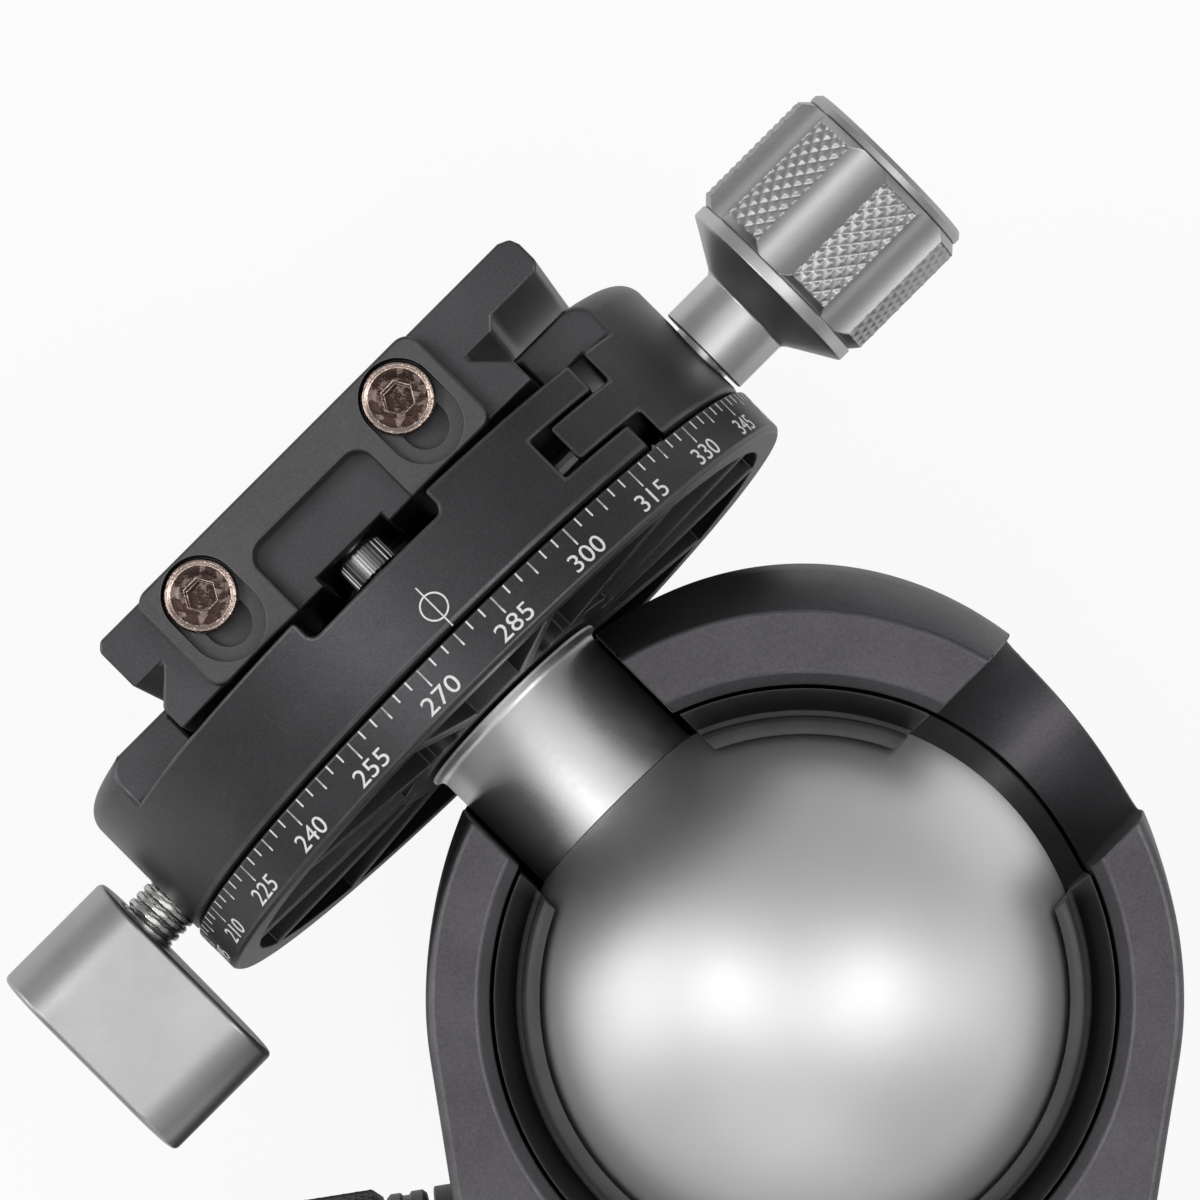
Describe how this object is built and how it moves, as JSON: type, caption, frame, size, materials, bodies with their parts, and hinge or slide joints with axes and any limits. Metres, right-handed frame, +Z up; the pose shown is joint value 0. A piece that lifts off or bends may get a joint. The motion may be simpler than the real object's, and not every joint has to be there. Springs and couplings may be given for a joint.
{
  "type": "tripod ball head",
  "caption": "Low ball head with an egg shaped housing, two drop notches, a panning dovetail clamp on the stem and a quick release plate with a raising stop bar",
  "frame": {"origin": "centre of the base's mounting face, on the panning axis", "axes": "+Z up along the panning axis; +Y towards the housing's front shoulder, between the two drop notches; the stem rests in the notch at 135 degrees from +X"},
  "size_m": [0.1016, 0.1199, 0.079],
  "materials": {
    "black_anodised": "black anodised, fine satin",
    "dark_anodised": "black anodised, smooth",
    "satin_silver": "bead blasted, satin",
    "steel": "turned and brushed",
    "copper_screw": "copper brown coated",
    "brass": "turned",
    "polymer": "dark low friction polymer",
    "rubber": "matt"
  },
  "bodies": {
    "base": {"pan_base": "black_anodised", "tripod_bushing": "steel", "pivot_bolt": "steel", "thrust_washer": "polymer"},
    "socket": {"housing": "black_anodised", "retainer_front": "dark_anodised", "retainer_rear": "dark_anodised", "ball_liner": "polymer", "lower_ball_cup": "brass", "friction_pad": "polymer", "friction_spring": "steel", "base_brake_shoe": "brass"},
    "wedge": {"pressure_wedge": "steel"},
    "main_collar": {"main_knob_collar": "satin_silver"},
    "main_knob": {"main_lock_screw": "steel", "main_knob_grip": "black_anodised", "main_knob_cap": "satin_silver"},
    "friction_control": {"friction_screw": "steel", "friction_knob": "black_anodised"},
    "base_lock": {"base_lock_screw": "steel", "base_lock_knob": "black_anodised"},
    "ball_stem": {"ball": "satin_silver", "stem": "steel", "pan_ring": "black_anodised", "clamp_keeper": "steel", "clamp_bolt": "steel"},
    "clamp": {"clamp_body": "black_anodised", "pan_friction_washer": "polymer", "clamp_brake_shoe": "brass", "jaw_spring": "steel", "guide_pin_front": "steel", "guide_pin_rear": "steel"},
    "jaw": {"movable_jaw": "black_anodised"},
    "clamp_knob": {"clamp_screw": "steel", "clamp_knob_collar": "satin_silver", "clamp_knob_grip": "satin_silver", "clamp_knob_cap": "dark_anodised"},
    "clamp_lock": {"clamp_lock_screw": "steel", "clamp_lock_paddle": "satin_silver"},
    "plate": {"quick_release_plate": "black_anodised", "plate_pad_left": "rubber", "plate_pad_right": "rubber", "stop_bar_screw_left": "copper_screw", "stop_bar_screw_right": "copper_screw", "safety_screw_front": "satin_silver", "safety_screw_rear": "satin_silver"},
    "bar": {"stop_bar": "black_anodised"},
    "screw_clip": {"camera_screw_clip": "steel"},
    "screw": {"camera_screw": "steel"}
  },
  "joints": [
    {"name": "base_pan", "type": "hinge", "parent": "base", "child": "socket", "pos_m": [0, 0, 0.0115], "axis": [0, 0, 1], "continuous": true},
    {"name": "wedge_slide", "type": "slide", "parent": "socket", "child": "wedge", "axis": [-1, 0, 0], "range_m": [0, 0.00095]},
    {"name": "main_knob_travel", "type": "slide", "parent": "socket", "child": "main_collar", "axis": [-0.9877, -0.1564, 0], "range_m": [0, 0.0009375]},
    {"name": "main_knob_turn", "type": "hinge", "parent": "main_collar", "child": "main_knob", "pos_m": [0, -0.022, 0.034], "axis": [-0.9877, -0.1564, 0], "range_deg": [0, 270.1]},
    {"name": "friction_knob_turn", "type": "hinge", "parent": "socket", "child": "friction_control", "pos_m": [0, -0.022, 0.034], "axis": [0.9877, -0.1564, 0], "range_deg": [0, 300]},
    {"name": "base_lock_turn", "type": "hinge", "parent": "socket", "child": "base_lock", "pos_m": [0, -0.04, 0.0154], "axis": [0, -1, 0], "range_deg": [0, 180]},
    {"name": "ball_tilt", "type": "hinge", "parent": "socket", "child": "ball_stem", "pos_m": [0, 0, 0.052], "axis": [0.7071, 0.7071, 0], "range_deg": [0, 137]},
    {"name": "clamp_pan", "type": "hinge", "parent": "ball_stem", "child": "clamp", "pos_m": [-0.02747, 0.02747, 0.0486], "axis": [-0.7044, 0.7044, -0.0872], "range_deg": [-40, 220]},
    {"name": "jaw_slide", "type": "slide", "parent": "clamp", "child": "jaw", "axis": [0.7071, 0.7071, 0], "range_m": [0, 0.0014]},
    {"name": "clamp_knob_turn", "type": "hinge", "parent": "jaw", "child": "clamp_knob", "pos_m": [-0.0007, 0.05727, 0.04841], "axis": [0.7071, 0.7071, 0], "range_deg": [0, 504.1]},
    {"name": "clamp_lock_turn", "type": "hinge", "parent": "clamp", "child": "clamp_lock", "pos_m": [-0.0537, 0.00279, 0.04851], "axis": [-0.7071, -0.7071, 0], "range_deg": [0, 180]},
    {"name": "plate_slide", "type": "slide", "parent": "clamp", "child": "plate", "axis": [0.0616, -0.0616, -0.9962], "range_m": [-0.0055, 0.0055]},
    {"name": "stop_bar_slide", "type": "slide", "parent": "plate", "child": "bar", "axis": [-0.7044, 0.7044, -0.0872], "range_m": [0, 0.0028]},
    {"name": "camera_screw_lift", "type": "slide", "parent": "plate", "child": "screw_clip", "axis": [-0.7044, 0.7044, -0.0872], "range_m": [0, 0.0038]},
    {"name": "camera_screw_turn", "type": "hinge", "parent": "screw_clip", "child": "screw", "pos_m": [-0.03522, 0.03522, 0.04764], "axis": [-0.7044, 0.7044, -0.0872], "continuous": true}
  ],
  "couplings": [
    {"joint": "clamp_knob_turn", "follows": "jaw_slide", "rad_per_m": 6283.2},
    {"joint": "main_knob_turn", "follows": "main_knob_travel", "rad_per_m": 5026.5},
    {"joint": "wedge_slide", "follows": "main_knob_travel", "ratio": 1}
  ]
}
